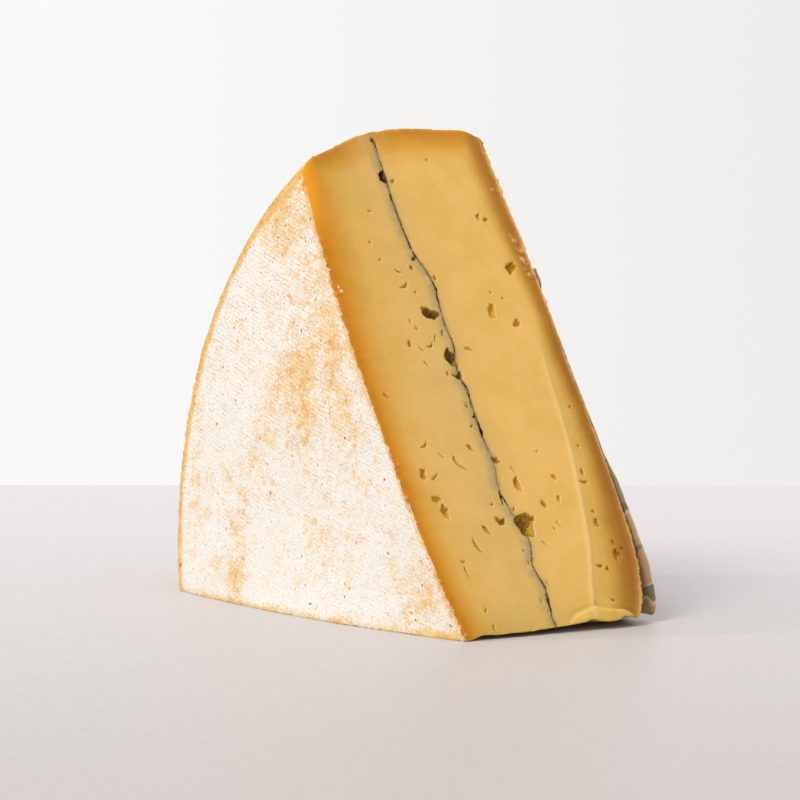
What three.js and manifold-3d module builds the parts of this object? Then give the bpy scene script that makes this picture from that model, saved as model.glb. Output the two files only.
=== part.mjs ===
// A wedge of pressed cow's-milk cheese with a line of ash through its middle.
//
// The wheel lay on one flat side; the wedge was cut from it with two knife strokes and now lies on
// one of the two cuts. Millimetres, +Z up. X runs along the wheel's axis, from the bare flat side to
// the labelled one. Y runs from the wedge's tip to the rim, along the base.
//
// While it is built, the origin is the tip's corner on the bare side: the line where the two cuts
// meet is the X axis. The finished group is moved so that its origin is the middle of its underside.

import * as THREE from 'three';
import { mergeVertices } from 'three/addons/utils/BufferGeometryUtils.js';
import Module from 'manifold-3d';

const wasm = await Module();
wasm.setup();

// ---- Driving dimensions ----

const CUT_ANGLE = THREE.MathUtils.degToRad(56.5); // between the base cut and the upper cut
const WHEEL_CENTRE_Y = 24.7; // the wheel's axis, which the knife missed by a little
const WHEEL_CENTRE_Z = 14.5;
const WHEEL_SEGMENTS = 108;
const WEDGE_LENGTH = 165; // of the base, along the bare side

const RIM_THICKNESS = 73.7; // between the two flat sides where they meet the rim
const BARE_RADIUS = 142.2; // of the bare flat side
const LABELLED_RADIUS = 153; // of the labelled one, which the wheel lay and spread on
const BARE_CROWN = 6.3; // how far each flat side swells at the wheel's middle
const BARE_FULLNESS = 3; // the power of the radius by which that swell falls off
const LABELLED_CROWN = 2.8;
const LABELLED_FULLNESS = 2;
const SIDE_RINGS = 9; // rings of faces on each flat side
const RIM_STEPS = 22;

const BARE_TIP_PULL = 5.4; // how far each flat side draws in at the soft tip
const BARE_TIP_FADE = 38; // distance from the tip in which that falls to a third
const LABELLED_TIP_PULL = 12.8;
const LABELLED_TIP_FADE = 13.5;

const ASH_THICKNESS = 1.2;
const ASH_RADIUS = 152; // of the ash, from the wheel's axis: it stops short of the rim
const GAP = 0.3; // between pieces that touch

const LABEL_RADIUS = 104;
const LABEL_THICKNESS = 0.5;
const LABEL_LIFT = 1.2; // of its lower edge above the base
const LABEL_TIP_Y = 8; // where its blunt tip ends
const LABEL_RINGS = 7;

const BASE_DROP = 0.8; // of the base cut below the tip's corner
const BARE_SPREAD = 2.5; // how far the bare side spreads out at the base, where the weight is
const BARE_SPREAD_FADE = 14;
const STEP_TILT = THREE.MathUtils.degToRad(1.8); // of the second knife stroke, beside the labelled side
const STEP_DEPTH = 0.5; // at the crease between the two strokes
const TOE_LIFT = 0.05; // how much the tip's underside lifts, for each millimetre along the wheel's axis
const TOE_SLOPE = 0.12; // and how much it falls, for each millimetre away from the tip

const EYE_DETAIL = 1; // subdivisions of each eye's icosahedron
const OVERSHOOT = 20; // how far cutting tools run past what they cut

// The rim in section, from the bare side's shoulder to the labelled one: distance along the wheel's
// axis, distance from it. It swells by more than a centimetre, and most on the labelled side.
const RIM_SECTION = [
  [0, BARE_RADIUS],
  [4, 146],
  [13, 149.8],
  [27, 155],
  [44, 157.3],
  [59, 156.7],
  [70, 155.2],
  [RIM_THICKNESS, LABELLED_RADIUS],
];

// The ash line on the upper cut: distance from the tip, distance from the bare side.
const ASH_LINE = [
  [-8, 33.4], [9, 33.2], [16, 34.2], [22, 32.6], [31, 34.6], [39, 33.0], [48, 30.6], [60, 32.2],
  [70, 31.6], [78, 31.8], [86, 32.3], [91, 31.1], [100, 33.1], [113, 33.2], [126, 34.2],
  [136, 31.0], [152, 30.2], [166, 30.9], [190, 31.6],
];

// The crease that the second knife stroke left on the upper cut, at its ends: as in ASH_LINE.
const CREASE_FROM = [8, 51];
const CREASE_TO = [105, 68.5];

// The larger eyes on the upper cut: distance from the tip, distance from the bare side, length up
// the cut, width across it, depth, and how far its length leans, in degrees.
const EYES = [
  [163.4, 29.5, 4.2, 2.4, 2.6, 12],
  [148.2, 62.0, 2.0, 4.2, 1.8, -10],
  [129.2, 66.4, 5.2, 3.8, 5.0, 20],
  [113.5, 28.6, 5.0, 6.6, 5.0, 30],
  [113.3, 52.7, 5.6, 3.2, 3.4, 10],
  [108.6, 60.6, 3.2, 3.2, 2.8, 0],
  [97.3, 30.6, 6.2, 4.2, 4.6, 0],
  [90.4, 31.0, 2.4, 3.4, 3.0, -10],
  [65.1, 25.4, 2.8, 2.4, 2.4, 20],
  [60.1, 32.9, 2.6, 3.2, 2.6, 0],
  [57.4, 4.3, 2.8, 2.7, 3.0, 0],
  [52.9, 64.1, 4.0, 2.6, 2.8, 0],
  [51.5, 38.0, 5.6, 2.4, 3.2, 20],
  [45.4, 6.5, 6.0, 3.4, 3.2, -10],
  [38.8, 26.5, 3.0, 3.6, 3.0, 0],
  [37.9, 35.2, 8.2, 7.8, 7.0, 10],
  [36.5, 62.1, 2.2, 2.2, 2.0, 0],
  [36.4, 20.2, 3.2, 2.4, 2.6, -20],
  [31.1, 14.4, 5.6, 1.8, 2.4, 0],
  [25.2, 65.7, 5.0, 3.0, 3.6, 20],
  [20.4, 58.6, 2.4, 5.2, 1.8, 0],
];

// Eyes on the base cut lie on a spiral, which spreads them without rows.
const BASE_EYES = 9;
const BASE_EYE_MIDDLE = [88, 37]; // of the spiral: distance from the tip, distance from the bare side
const BASE_EYE_SPREAD = [68, 30];
const BASE_EYE_SIZE = 2.4;
const GOLDEN_TURN = Math.PI * (3 - Math.sqrt(5));

// ---- Directions on the two cuts ----

const ALONG_WHEEL = new THREE.Vector3(1, 0, 0);
const UP_THE_CUT = new THREE.Vector3(0, Math.cos(CUT_ANGLE), Math.sin(CUT_ANGLE));
const INTO_THE_CUT = new THREE.Vector3(0, Math.sin(CUT_ANGLE), -Math.cos(CUT_ANGLE));
const AWAY_FROM_TIP = new THREE.Vector3(0, 1, 0);
const UP = new THREE.Vector3(0, 0, 1);

// Turns drawings on the upper cut (x up the cut, y across it, z into the cheese) into place.
const ON_UPPER_CUT = new THREE.Matrix4().makeBasis(UP_THE_CUT, ALONG_WHEEL, INTO_THE_CUT);
// Turns side views (x away from the tip, y up) into place, with z along the wheel's axis.
const SIDE_VIEW = new THREE.Matrix4().makeBasis(AWAY_FROM_TIP, UP, ALONG_WHEEL);

// ---- Solids from geometries, and back ----

function toSolid(geometry) {
  const bare = geometry.clone();
  bare.deleteAttribute('normal');
  bare.deleteAttribute('uv');
  const merged = mergeVertices(bare, 1e-4);
  const mesh = new wasm.Mesh({
    numProp: 3,
    vertProperties: Float32Array.from(merged.attributes.position.array),
    triVerts: Uint32Array.from(merged.index.array),
  });
  return new wasm.Manifold(mesh);
}

function toGeometry(solid) {
  const { vertProperties, triVerts } = solid.getMesh();
  const geometry = new THREE.BufferGeometry();
  geometry.setAttribute('position', new THREE.BufferAttribute(vertProperties, 3));
  geometry.setIndex(new THREE.BufferAttribute(triVerts, 1));
  geometry.computeVertexNormals();
  return geometry;
}

function namedMesh(name, solid, material) {
  const mesh = new THREE.Mesh(toGeometry(solid), material);
  mesh.name = name;
  return mesh;
}

// ---- The wheel ----

// How far a flat side stands out at a distance from the wheel's axis.
function crown(height, fullness, radius, sideRadius) {
  return height * (1 - (radius / sideRadius) ** fullness);
}

function bareSideX(radius) {
  return -crown(BARE_CROWN, BARE_FULLNESS, radius, BARE_RADIUS);
}

function labelledSideX(radius) {
  return RIM_THICKNESS + crown(LABELLED_CROWN, LABELLED_FULLNESS, radius, LABELLED_RADIUS);
}

// Rings from the axis out to a radius, as lathe points (distance from the axis, place along it).
function rings(radius, count, placeAt) {
  const points = [];
  for (let i = 0; i <= count; i++) {
    const ring = (radius * i) / count;
    points.push(new THREE.Vector2(ring, placeAt(ring)));
  }
  return points;
}

// Turns a lathe profile about the wheel's axis and puts it where that axis is.
function turned(points) {
  const geometry = new THREE.LatheGeometry(points, WHEEL_SEGMENTS);
  geometry.rotateZ(-Math.PI / 2);
  geometry.translate(0, WHEEL_CENTRE_Y, WHEEL_CENTRE_Z);
  return geometry;
}

// Draws both flat sides in towards each other near the soft tip, and spreads the bare one at the base.
function settle(geometry) {
  const position = geometry.attributes.position;
  for (let i = 0; i < position.count; i++) {
    const [x, y, z] = [position.getX(i), position.getY(i), position.getZ(i)];
    const fromTip = Math.hypot(y, z);
    const across = THREE.MathUtils.clamp(x / RIM_THICKNESS, 0, 1);
    const bareTip = BARE_TIP_PULL * Math.exp(-fromTip / BARE_TIP_FADE);
    const labelledTip = LABELLED_TIP_PULL * Math.exp(-fromTip / LABELLED_TIP_FADE);
    const alongBase = Math.sin(Math.PI * THREE.MathUtils.clamp(y / WEDGE_LENGTH, 0, 1));
    const spread = BARE_SPREAD * alongBase * Math.exp(-Math.abs(z) / BARE_SPREAD_FADE);
    position.setX(i, x + (bareTip - spread) * (1 - across) - labelledTip * across);
  }
  return geometry;
}

function wheel() {
  const rimCurve = new THREE.SplineCurve(RIM_SECTION.map(([x, r]) => new THREE.Vector2(r, x)));
  const bareSide = rings(BARE_RADIUS, SIDE_RINGS, bareSideX);
  const labelledSide = rings(LABELLED_RADIUS, SIDE_RINGS, labelledSideX).reverse();
  const rim = rimCurve.getPoints(RIM_STEPS).slice(1, -1);
  return toSolid(settle(turned([...bareSide, ...rim, ...labelledSide])));
}

// ---- The cuts ----

// The room between the two cuts above a height, as a prism along the wheel's axis.
function betweenCuts(bottom = -BASE_DROP) {
  const reach = 2 * LABELLED_RADIUS;
  const outline = new THREE.Shape([
    new THREE.Vector2(bottom / Math.tan(CUT_ANGLE), bottom),
    new THREE.Vector2(reach, bottom),
    new THREE.Vector2(reach, reach * Math.tan(CUT_ANGLE)),
  ]);
  const length = RIM_THICKNESS + 2 * OVERSHOOT;
  const prism = new THREE.ExtrudeGeometry(outline, { depth: length, bevelEnabled: false });
  prism.translate(0, 0, -OVERSHOOT);
  prism.applyMatrix4(SIDE_VIEW);
  return toSolid(prism);
}

// What the second knife stroke took off beside the labelled side.
function secondStroke() {
  const [fromUp, fromAcross] = CREASE_FROM;
  const [toUp, toAcross] = CREASE_TO;
  const run = toUp - fromUp;
  const lean = Math.atan2(toAcross - fromAcross, run);
  const length = 3 * run;
  const slab = new THREE.BoxGeometry(length, RIM_THICKNESS, OVERSHOOT);
  slab.translate(0, RIM_THICKNESS / 2, -OVERSHOOT / 2);
  slab.rotateX(STEP_TILT);
  slab.translate(0, 0, STEP_DEPTH);
  slab.rotateZ(lean);
  slab.translate(fromUp, fromAcross, 0);
  slab.applyMatrix4(ON_UPPER_CUT);
  return toSolid(slab);
}

// What is missing under the tip, where the knife ran out and the underside lifts off the table.
function underToe() {
  const block = new THREE.BoxGeometry(4 * RIM_THICKNESS, 2 * RIM_THICKNESS, OVERSHOOT);
  block.translate(0, 0, -OVERSHOOT / 2);
  block.rotateX(-Math.atan(TOE_SLOPE));
  block.rotateY(-Math.atan(TOE_LIFT));
  return toSolid(block);
}

// ---- The ash ----

// The ash line, as thick as asked, carried straight into the cheese from the upper cut.
function ashSheet(thickness, radius) {
  const line = new THREE.SplineCurve(ASH_LINE.map(([up, across]) => new THREE.Vector2(up, across)));
  const points = line.getPoints(3 * ASH_LINE.length);
  const offset = (sign) => points.map((p) => new THREE.Vector2(p.x, p.y + (sign * thickness) / 2));
  const outline = new THREE.Shape([...offset(-1), ...offset(1).reverse()]);
  const depth = 2 * LABELLED_RADIUS;
  const sheet = new THREE.ExtrudeGeometry(outline, { depth, bevelEnabled: false });
  sheet.translate(0, 0, -OVERSHOOT);
  sheet.applyMatrix4(ON_UPPER_CUT);
  const reach = new THREE.CylinderGeometry(radius, radius, RIM_THICKNESS, WHEEL_SEGMENTS);
  reach.rotateZ(-Math.PI / 2);
  reach.translate(RIM_THICKNESS / 2, WHEEL_CENTRE_Y, WHEEL_CENTRE_Z);
  return toSolid(sheet).intersect(toSolid(reach));
}

// ---- The eyes ----

// An uneven hole: an icosahedron pushed out of round, of the given length, width and depth.
function hole(length, width, depth, seed) {
  const ball = new THREE.IcosahedronGeometry(1, EYE_DETAIL);
  const position = ball.attributes.position;
  const point = new THREE.Vector3();
  for (let i = 0; i < position.count; i++) {
    point.fromBufferAttribute(position, i);
    const uneven = 1 + 0.14 * Math.sin(3.1 * point.x + 4.3 * point.y + 2.7 * point.z + seed);
    point.multiplyScalar(uneven);
    position.setXYZ(i, point.x, point.y, point.z);
  }
  ball.scale(length / 2, width / 2, depth);
  return ball;
}

function eyesOnUpperCut() {
  return EYES.map(([up, across, length, width, depth, lean], seed) => {
    const eye = hole(length, width, depth, seed);
    eye.rotateZ(THREE.MathUtils.degToRad(lean));
    eye.translate(up, across, 0);
    eye.applyMatrix4(ON_UPPER_CUT);
    return toSolid(eye);
  });
}

function eyesOnBaseCut() {
  const eyes = [];
  for (let i = 0; i < BASE_EYES; i++) {
    const turn = i * GOLDEN_TURN;
    const spread = Math.sqrt((i + 0.5) / BASE_EYES);
    const y = BASE_EYE_MIDDLE[0] + BASE_EYE_SPREAD[0] * spread * Math.cos(turn);
    const x = BASE_EYE_MIDDLE[1] + BASE_EYE_SPREAD[1] * spread * Math.sin(turn);
    const size = BASE_EYE_SIZE * (1 + 0.5 * Math.sin(5 * i));
    const eye = hole(1.3 * size, size, size, i);
    eye.translate(x, y, 0);
    eyes.push(toSolid(eye));
  }
  return eyes;
}

// ---- The pieces ----

function paste() {
  const wedge = wheel().intersect(betweenCuts());
  const slot = ashSheet(ASH_THICKNESS + 2 * GAP, ASH_RADIUS + GAP);
  const tools = [slot, secondStroke(), underToe(), ...eyesOnUpperCut(), ...eyesOnBaseCut()];
  return tools.reduce((solid, tool) => solid.subtract(tool), wedge);
}

function ashLayer() {
  const sheet = ashSheet(ASH_THICKNESS, ASH_RADIUS).intersect(betweenCuts());
  const tools = [secondStroke(), underToe(), ...eyesOnUpperCut()];
  return tools.reduce((solid, tool) => solid.subtract(tool), sheet);
}

// A round label, cut through with the cheese. It stays flat where the cheese draws in at the tip.
function label() {
  const inner = (radius) => labelledSideX(radius) + GAP;
  const outer = (radius) => inner(radius) + LABEL_THICKNESS;
  const profile = [
    ...rings(LABEL_RADIUS, LABEL_RINGS, inner),
    ...rings(LABEL_RADIUS, LABEL_RINGS, outer).reverse(),
  ];
  const blunt = new THREE.BoxGeometry(2 * RIM_THICKNESS, OVERSHOOT, LABELLED_RADIUS);
  blunt.translate(RIM_THICKNESS, LABEL_TIP_Y - OVERSHOOT / 2, 0);
  const lowerEdge = LABEL_LIFT - BASE_DROP;
  return toSolid(turned(profile)).intersect(betweenCuts(lowerEdge)).subtract(toSolid(blunt));
}

const pasteMaterial = new THREE.MeshStandardMaterial({ color: 0xe2bb68, roughness: 0.55, metalness: 0 });
const ashMaterial = new THREE.MeshStandardMaterial({ color: 0x4d4e4a, roughness: 0.8, metalness: 0 });
const labelMaterial = new THREE.MeshStandardMaterial({ color: 0x8a9074, roughness: 0.7, metalness: 0 });

const wedge = new THREE.Group();
wedge.add(namedMesh('paste', paste(), pasteMaterial));
wedge.add(namedMesh('ash_layer', ashLayer(), ashMaterial));
wedge.add(namedMesh('label', label(), labelMaterial));

const bounds = new THREE.Box3().setFromObject(wedge);
const middle = bounds.getCenter(new THREE.Vector3());
wedge.position.set(-middle.x, -middle.y, -bounds.min.z);

export default wedge;
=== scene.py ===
"""The looks of a wedge of Morbier: a cheese with a line of ash through it and a paper label on one side.

Shapes are worked out in millimetres in the wheel's frame: X runs along the wheel's axis from the bare flat
side to the labelled one, Y along the base from the wedge's tip to the rim, Z up, and the origin is the tip's
corner on the bare side. in_frame() turns such points into metres in the shared frame.

The cheese's skin is made of five patches: the upper cut, the base cut, the two flat sides and the rim. Each
is laid out flat, filled with points that lie closer where there is more to show, triangulated, and put in
place. Neighbours share the points of the edge between them, so the skin is closed.
"""

import functools
import itertools
import math

import bpy
import numpy as np
from mathutils import Matrix, Vector, kdtree
from mathutils.geometry import delaunay_2d_cdt


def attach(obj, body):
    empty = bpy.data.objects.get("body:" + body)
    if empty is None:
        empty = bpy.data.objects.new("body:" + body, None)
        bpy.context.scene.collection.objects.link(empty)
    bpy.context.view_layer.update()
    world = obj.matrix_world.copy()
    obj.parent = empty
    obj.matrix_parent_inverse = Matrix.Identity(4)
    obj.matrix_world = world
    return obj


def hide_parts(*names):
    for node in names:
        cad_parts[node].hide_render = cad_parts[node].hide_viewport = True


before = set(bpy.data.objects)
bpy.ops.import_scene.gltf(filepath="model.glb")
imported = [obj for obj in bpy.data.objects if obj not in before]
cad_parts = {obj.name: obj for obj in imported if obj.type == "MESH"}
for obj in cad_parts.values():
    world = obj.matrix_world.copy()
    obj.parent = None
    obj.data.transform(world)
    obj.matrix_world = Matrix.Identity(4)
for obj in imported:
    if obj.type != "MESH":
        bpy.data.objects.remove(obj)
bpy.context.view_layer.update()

# ---- Sizes, in millimetres ----

TIP_CORNER = np.array([-34.8157, -91.0131, 0.8])  # where the wheel's frame starts, in the shared frame
METRE = 1000.0

CUT_ANGLE = math.radians(56.5)  # between the base cut and the upper cut
WHEEL_CENTRE_Y = 24.7
WHEEL_CENTRE_Z = 14.5
WEDGE_LENGTH = 165.0
RIM_THICKNESS = 73.7
BARE_RADIUS = 142.2
LABELLED_RADIUS = 153.0
BARE_CROWN = 6.3
BARE_FULLNESS = 3  # the power of the radius that the bare side's swell falls by
LABELLED_CROWN = 2.8
LABELLED_FULLNESS = 2
BARE_TIP_PULL = 5.4  # how far each flat side draws in at the soft tip
BARE_TIP_FADE = 38.0
LABELLED_TIP_PULL = 12.8
LABELLED_TIP_FADE = 13.5
BARE_SPREAD = 2.5  # how far the bare side spreads out at the base
BARE_SPREAD_FADE = 14.0
BASE_DROP = 0.8  # of the base cut below the tip's corner
TOE_SLOPE = 0.12  # of the underside where it lifts towards the tip
MEAN_RADIUS = 150.0  # of the rim, for laying it out flat
RIM_EASE = 6.0  # from each side to where the rim's lumps are whole

# Lumps of the surfaces: size, height.
BARE_LUMPS = [(31, 0.35), (8, 0.14), (2.6, 0.07)]
LABELLED_LUMPS = [(29, 0.12), (8, 0.08), (2.6, 0.05)]
RIM_LUMPS = [(24, 0.3), (7, 0.12), (2.6, 0.06)]
LABEL_LUMPS = [(16, 0.12), (5, 0.05)]

# The rim in section: distance along the wheel's axis, distance from it.
RIM_SECTION = [
    (0, BARE_RADIUS), (4, 146), (13, 149.8), (27, 155), (44, 157.3), (59, 156.7), (70, 155.2),
    (RIM_THICKNESS, LABELLED_RADIUS),
]

# The lower edge of the upper cut: distance from the bare side, distance up the cut. It hangs down at the
# rind and where the paste was squashed.
BOTTOM_EDGE = [
    (-2, -0.7), (0.9, -0.5), (3.1, 0.3), (5, 0.65), (11, 0.6), (18, 0.7), (27, 1.1), (32, 1.4), (39.5, 1.9),
    (44.5, 2.4), (48.5, 3.1), (50.5, 2.4), (54.5, 1.9), (57.5, 2.2), (60.2, 3.2), (62.3, 2.7), (66, 2.6),
    (70, 2.8),
]

# The ash line on the upper cut: distance up the cut from the tip, distance from the bare side.
ASH_LINE = [
    (-8, 33.4), (9, 33.2), (16, 34.2), (22, 32.6), (31, 34.6), (39, 33), (48, 30.6), (60, 32.2), (70, 31.6),
    (78, 31.8), (86, 32.3), (91, 31.1), (100, 33.1), (113, 33.2), (126, 34.2), (136, 31), (152, 30.2),
    (166, 30.9), (190, 31.6),
]
# How thick it is: distance up the cut, thickness.
ASH_THICKNESS = [
    (-8, 0.5), (6, 0.4), (16, 0.7), (19, 0.4), (30, 0.35), (44, 0.2), (47, 0.6), (50, 0.1), (63, 0.1),
    (66, 0.25), (72, 0.8), (76, 0.55), (82, 0.65), (92, 0.5), (104, 0.45), (113, 0.35), (122, 0.65),
    (128, 0.7), (136, 0.55), (150, 0.5), (160, 0.65), (168, 0.4), (174, 0.3), (179, 0.8), (190, 0.8),
]
ASH_THINNEST = 0.08
ASH_START = -8.0  # how far up the cut the ash's sheet begins, below the base
ASH_RADIUS = 152.0  # of the ash, from the wheel's axis
ASH_STEP = 0.5  # between the points of its sheet, up the cut
ASH_GAP = 0.03  # between the ash and the paste

# The crease where the second knife stroke began: distance up the cut, distance from the bare side.
CREASE = [
    (-5, 47), (8, 50.2), (30, 57.2), (49, 61.2), (67, 63.9), (88, 65.6), (105, 67.6), (125, 71.5), (190, 84),
]
STEP_TILT = math.radians(1.8)
STEP_DEPTH = 0.5
CREASE_END = 118.0  # where the crease runs out
RIDGE_HEIGHT = 0.3
RIDGE_WIDTH = 0.9

# The squashed lip at the foot of the cut: distance from the bare side, distance up the cut of its upper edge.
LIP_EDGE = [(38, 2.0), (40.5, 4.6), (45, 6.6), (49.5, 7.7), (53, 7.1), (58, 6.4), (62, 5.6), (66, 3.4)]
LIP_START, LIP_END = 37.0, 66.0
LIP_EASE = 4.0
LIP_HEIGHT = 1.15
LIP_GROOVE = 0.3  # how deep the crease above it is

# Crumbs that stick to the upper cut: distance up the cut, distance from the bare side, size, height.
CRUMBS = [
    (158.5, 70.6, 0.8, 0.4), (141.4, 70.6, 1.0, 0.4), (139.2, 71.4, 1.3, 0.5), (136.6, 71.0, 0.9, 0.3),
    (135.4, 72.6, 1.3, 0.6), (132.6, 71.6, 1.1, 0.4), (131.2, 73.0, 1.4, 0.6), (128.6, 72.0, 1.0, 0.3),
    (126.2, 72.8, 1.2, 0.5), (123.0, 73.0, 0.9, 0.3), (130.7, -3.5, 0.9, 0.6), (124.4, -2.0, 0.7, 0.6),
    (122.9, -1.6, 0.8, 0.5), (148.0, -3.8, 0.6, 0.3), (102.0, -3.2, 0.6, 0.3), (61.0, -3.4, 0.7, 0.4),
]

# Eyes on the upper cut: distance up the cut, distance from the bare side, length up the cut, width across
# it, depth, lean in degrees, bend.
EYES = [
    # along the ash
    (178, 31.3, 2.1, 2, 2, 0, 0), (164.4, 29.6, 4.4, 2.5, 3, 12, 0.2), (162.8, 33.2, 2, 1.6, 1, 60, 0.3),
    (133.7, 30.2, 1.9, 1.6, 2.2, 30, 0), (130.6, 28.2, 1.9, 1.5, 1.6, 0, 0),
    (113.6, 28.8, 4.6, 6.2, 5.6, 24, 0.15), (97.3, 30.4, 6.4, 4.4, 5.2, -14, 0.3),
    (90.6, 31.2, 2.6, 3.6, 3.4, -24, 0.8), (76, 31, 1.4, 1.1, 1.2, 0, 0), (69.5, 31.6, 5, 0.9, 2, 4, 0.1),
    (60.2, 33.2, 2.8, 3, 2.2, 30, 0.4), (47.2, 30.2, 6.2, 1, 2.4, 6, 0.1),
    (38.9, 26.8, 3, 3.4, 2.8, 24, 0.3), (37.4, 35.4, 8.2, 7.8, 9.5, 18, 0.25),
    # above them, right of the ash
    (148.5, 60.8, 2.8, 1.5, 1.6, 10, 0.5), (147.4, 63.4, 1.7, 2, 1.8, -20, 0.1),
    (170.4, 49.5, 1.4, 1, 0.7, 0, 0), (129.4, 66.2, 5, 3.6, 5, 24, 0.4), (113.6, 52.6, 5.6, 3, 2.6, 12, 0.3),
    (108.8, 60.6, 3.2, 2.6, 2.6, 20, 0.2), (120.4, 55, 1, 1, 0.7, 0, 0), (118.2, 58.8, 0.9, 0.9, 0.6, 0, 0),
    (126.6, 35.8, 2.4, 1.2, 1.2, 8, 0), (100.4, 38.6, 1.3, 2.9, 0.9, 14, -0.5),
    # left of the ash
    (151.8, 20.2, 0.8, 1.6, 0.8, 0, 0.2), (140.2, 16, 1.1, 1, 0.6, 0, 0),
    (133.8, 17.4, 1.2, 0.8, 0.6, 30, 0), (129.4, 22.6, 0.9, 2.6, 1, 30, 0.4),
    (123.8, 23.2, 1.2, 3.4, 1.2, -30, 0.5), (121.6, 26.4, 1.4, 1, 0.8, 30, 0),
    (106.4, 30.8, 2.6, 0.9, 0.9, 20, 0), (103, 17, 2.4, 1.7, 2.2, 10, 0), (101, 20.6, 2.8, 0.7, 1, -36, 0.6),
    (101.8, 24.6, 0.8, 3.6, 1.2, -26, 0.9), (104.6, 27.2, 3, 0.6, 0.9, 22, 0.3),
    (108.4, 21.8, 1.6, 0.9, 1, -14, 0.2), (111, 20.2, 1.8, 0.6, 0.9, 10, 0.4),
    (95.6, 20.4, 2.4, 1, 0.8, -30, 0.2), (91.8, 27.2, 2.2, 1.1, 0.9, 12, 0.2),
    (84.8, 1.2, 2.6, 1.4, 1, -24, 0.2), (80, 30, 1.4, 1, 1.2, 0, 0), (72.8, 29, 1.8, 0.7, 0.9, 40, 0.2),
    (65.2, 25.4, 3, 1.5, 2, -26, 0.1), (66.8, 9, 0.8, 3.4, 1.1, -36, 0.5),
    (62.8, 13.8, 2.8, 0.5, 0.8, -44, 0.2), (59.6, 18.6, 6.4, 1.5, 1.4, -30, 0.6),
    (56.9, 4.5, 3.6, 2.5, 3, 10, 0.1), (55.6, 8.4, 0.7, 3.8, 0.9, -32, 0.2),
    (51.4, 38, 6.2, 2.1, 3.2, -4, 0.4), (56.5, 38.4, 2.6, 0.6, 0.8, -20, 0.3),
    (47.9, 6, 3.2, 2.9, 2.4, 20, 0.2), (43.6, 7.5, 4.6, 2.9, 3.4, 6, 0.3), (42.9, 33.4, 2, 0.8, 1, 30, 0.2),
    (45, 26, 1.2, 1.3, 0.8, 0, 0), (36.4, 20.3, 3.6, 1.9, 2.6, -26, 0.2),
    (31.2, 14.6, 6, 1.1, 2.2, -18, 0.3), (26, 7.6, 1, 1.9, 1, 0, 0.4), (22.6, 7.4, 4.6, 0.8, 1.2, -8, 0.3),
    (28.4, 31.2, 1, 0.9, 0.8, 0, 0), (24, 31.6, 1.6, 0.7, 0.9, -20, 0.2), (30.4, 40, 3, 0.5, 0.7, -36, 0),
    (16.6, 35.8, 2.8, 0.5, 0.6, -12, 0.2), (9, 9.4, 1.8, 0.9, 0.9, 20, 0.2), (2.9, 10, 2.6, 0.9, 1, 0, 0.3),
    (10.8, 31, 2.4, 0.5, 0.6, 0, 0.4),
    # low, right of the ash
    (53, 52.8, 3, 1.7, 1.4, -26, 0.2), (45.6, 51.6, 2.6, 1.3, 1.4, 0, 0.2),
    (43.8, 45.3, 3.2, 2, 2.4, 0, 0.3), (36.8, 48, 2.6, 0.6, 0.8, -20, 0.5), (35.2, 45.8, 1, 0.8, 0.7, 0, 0),
    (62.5, 50, 0.9, 0.9, 0.6, 0, 0),
    # beside the labelled side
    (78, 69.6, 1.2, 0.9, 0.8, 0, 0), (63.8, 67, 1, 1, 0.8, 0, 0), (54.6, 64.8, 3.2, 1, 1.6, 6, 0.1),
    (51, 63.8, 1.2, 3.6, 1.6, 4, 0.2), (40.6, 63.4, 1.4, 1.1, 1.1, 0, 0.2),
    (36.4, 63, 2.9, 1.9, 1.9, 10, 0.2), (29.2, 66.6, 2.2, 0.8, 1.1, 0, 0.2),
    (24.6, 66.2, 4.4, 2.6, 3, 14, 0.2), (27.2, 69.2, 1, 1, 0.8, 0, 0), (21.4, 58.2, 1.3, 2.6, 1.5, 10, 0.3),
    (20.4, 60.8, 1.1, 2.2, 1.2, -30, 0.3), (9.4, 58.6, 1.2, 1.5, 1.1, 0, 0.3),
]
EYE_RAGGEDNESS = 0.26
EYE_ROUGHNESS = 0.13  # of its wall, as a share of its size
MOUTH_ANGLE = math.radians(104)  # of an eye's mouth round the hollow, from its bottom: over 90 it undercuts
RING_STEP = 0.4  # between points round an eye
RING_GAP = 0.7  # between the rings, down it
EYE_CLEARANCE = 0.28  # between an eye's mouth and the points around it

# Eyes on the base cut lie on a spiral, which spreads them without rows.
BASE_EYES = 26
BASE_EYE_MIDDLE = (88.0, 37.0)
BASE_EYE_SPREAD = (70.0, 31.0)
BASE_EYE_SIZE = 2.2
GOLDEN_TURN = math.pi * (3 - math.sqrt(5))

CLOTH_PITCH = 1.4  # of the cloth's threads
CLOTH_TURN = math.radians(-15)

# Where the bloom on the bare side is worn through: along the base, up, half width, half height, strength.
WORN_PATCHES = [
    (91, 75, 21, 13, 0.45), (84, 57, 15, 8, 0.3), (125, 11, 7, 10, 0.4), (112, 46, 12, 10, 0.2),
    (104, 128, 22, 12, 0.65), (112, 108, 13, 9, -0.2), (72, 96, 10, 16, 0.25), (60, 22, 14, 9, 0.12),
    (39, 17, 9, 8, -0.15), (154, 60, 6, 34, 0.3), (20, 8, 14, 7, 0.45),
]

LABEL_RADIUS = 104.0
LABEL_THICKNESS = 0.15
LABEL_LIFT = 1.2
LABEL_OFF_SIDE = 0.35
LABEL_CURL = 0.5  # how far its upper part stands off the rind at the cut
LABEL_STEP = 0.9  # between the points of its outline
# Its blunt tip: along the base, up.
LABEL_TIP = [(10.4, 13.6), (8.7, 9.8), (7.9, 6.8), (7.9, 4.0), (8.4, 2.2), (9.6, LABEL_LIFT)]
PRINT_CENTRE = (40.0, 75.0)  # of the label's rings: along the base, up

# ---- Directions and frames ----

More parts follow.
